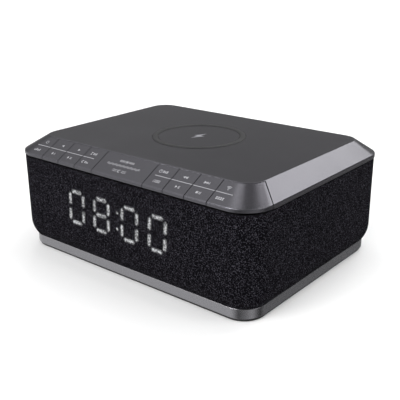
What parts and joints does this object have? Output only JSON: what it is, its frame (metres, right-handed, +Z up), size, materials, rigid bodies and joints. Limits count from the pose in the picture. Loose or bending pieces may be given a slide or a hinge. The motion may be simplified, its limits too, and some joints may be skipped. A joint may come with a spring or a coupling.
{
  "type": "clock radio",
  "caption": "Clock radio in a rounded fabric cabinet, with a hipped top cover, a row of sloping front keys, a charging pad on top and a lit display behind the cloth.",
  "frame": {"origin": "on the table, under the middle of the cabinet", "axes": "+X to the right along the front, +Y to the back, +Z up; the display and the keys are on the -Y side"},
  "size_m": [0.171, 0.13, 0.0671],
  "materials": {
    "satin_grey": "satin",
    "black_plastic": "matte",
    "black_fabric": "woven",
    "black_rubber": "matte",
    "green_board": "lacquered",
    "bright_steel": "bright",
    "copper": "enamelled wire",
    "ferrite": "sintered",
    "cone_paper": "pulp",
    "white_diffuser": "milky",
    "wire_jacket": "smooth"
  },
  "bodies": {
    "cabinet": {"aerial_gland": "black_rubber", "aux_audio_jack": "black_plastic", "base_gasket": "black_rubber", "base_screw_1": "bright_steel", "base_screw_2": "bright_steel", "base_screw_3": "bright_steel", "base_screw_4": "bright_steel", "base_tray": "satin_grey", "cabinet_shell": "black_plastic", "charger_board": "green_board", "charger_lead": "wire_jacket", "charging_coil": "copper", "charging_pad_ring": "black_rubber", "coin_cell": "bright_steel", "coin_cell_contact": "bright_steel", "coin_cell_cup": "black_plastic", "control_chip": "black_plastic", "dc_power_jack": "black_plastic", "display_board": "green_board", "display_light_guide": "white_diffuser", "display_mask": "black_plastic", "display_ribbon": "white_diffuser", "fabric_sleeve": "black_fabric", "ferrite_sheet": "ferrite", "foot_1": "black_rubber", "foot_2": "black_rubber", "foot_3": "black_rubber", "foot_4": "black_rubber", "key_board": "green_board", "key_frame": "black_plastic", "key_ribbon": "white_diffuser", "main_board": "green_board", "radio_shield_can": "bright_steel", "rear_panel": "black_plastic", "smoothing_capacitor_1": "bright_steel", "smoothing_capacitor_2": "bright_steel", "speaker_basket_left": "black_plastic", "speaker_basket_right": "black_plastic", "speaker_lead_left": "wire_jacket", "speaker_lead_right": "wire_jacket", "speaker_magnet_left": "bright_steel", "speaker_magnet_right": "bright_steel", "speaker_surround_left": "black_rubber", "speaker_surround_right": "black_rubber", "top_cover": "satin_grey", "usb_port_riser": "black_plastic", "usb_port_shell": "bright_steel", "usb_port_tongue": "black_plastic"},
    "key_power_mode": {"key_power_mode": "satin_grey"},
    "key_back_alarm_1": {"key_back_alarm_1": "satin_grey"},
    "key_forward_alarm_2": {"key_forward_alarm_2": "satin_grey"},
    "key_timer_sleep": {"key_timer_sleep": "satin_grey"},
    "key_snooze_dimmer": {"key_snooze_dimmer": "satin_grey"},
    "key_clock_set": {"key_clock_set": "satin_grey"},
    "key_volume_down": {"key_volume_down": "satin_grey"},
    "key_volume_up": {"key_volume_up": "satin_grey"},
    "key_wireless_memory": {"key_wireless_memory": "satin_grey"},
    "cone_left": {"speaker_cone_left": "cone_paper"},
    "cone_right": {"speaker_cone_right": "cone_paper"},
    "battery_cover": {"battery_cover": "black_plastic"}
  },
  "joints": [
    {"name": "press_power_mode", "type": "slide", "parent": "cabinet", "child": "key_power_mode", "axis": [0, 0.4802, -0.8772], "range_m": [0, 0.0006], "stiffness_N_per_m": 1500},
    {"name": "press_back_alarm_1", "type": "slide", "parent": "cabinet", "child": "key_back_alarm_1", "axis": [0, 0.4802, -0.8772], "range_m": [0, 0.0006], "stiffness_N_per_m": 1500},
    {"name": "press_forward_alarm_2", "type": "slide", "parent": "cabinet", "child": "key_forward_alarm_2", "axis": [0, 0.4802, -0.8772], "range_m": [0, 0.0006], "stiffness_N_per_m": 1500},
    {"name": "press_timer_sleep", "type": "slide", "parent": "cabinet", "child": "key_timer_sleep", "axis": [0, 0.4802, -0.8772], "range_m": [0, 0.0006], "stiffness_N_per_m": 1500},
    {"name": "press_snooze_dimmer", "type": "slide", "parent": "cabinet", "child": "key_snooze_dimmer", "axis": [0, 0.4802, -0.8772], "range_m": [0, 0.0006], "stiffness_N_per_m": 1500},
    {"name": "press_clock_set", "type": "slide", "parent": "cabinet", "child": "key_clock_set", "axis": [0, 0.4802, -0.8772], "range_m": [0, 0.0006], "stiffness_N_per_m": 1500},
    {"name": "press_volume_down", "type": "slide", "parent": "cabinet", "child": "key_volume_down", "axis": [0, 0.4802, -0.8772], "range_m": [0, 0.0006], "stiffness_N_per_m": 1500},
    {"name": "press_volume_up", "type": "slide", "parent": "cabinet", "child": "key_volume_up", "axis": [0, 0.4802, -0.8772], "range_m": [0, 0.0006], "stiffness_N_per_m": 1500},
    {"name": "press_wireless_memory", "type": "slide", "parent": "cabinet", "child": "key_wireless_memory", "axis": [0, 0.4802, -0.8772], "range_m": [0, 0.0006], "stiffness_N_per_m": 1500},
    {"name": "cone_stroke_left", "type": "slide", "parent": "cabinet", "child": "cone_left", "axis": [-1, 0, 0], "range_m": [-0.001, 0.001], "stiffness_N_per_m": 1200},
    {"name": "cone_stroke_right", "type": "slide", "parent": "cabinet", "child": "cone_right", "axis": [1, 0, 0], "range_m": [-0.001, 0.001], "stiffness_N_per_m": 1200},
    {"name": "battery_cover_turn", "type": "hinge", "parent": "cabinet", "child": "battery_cover", "pos_m": [-0.025, -0.022, 0.003], "axis": [0, 0, -1], "range_deg": [0, 90]}
  ]
}
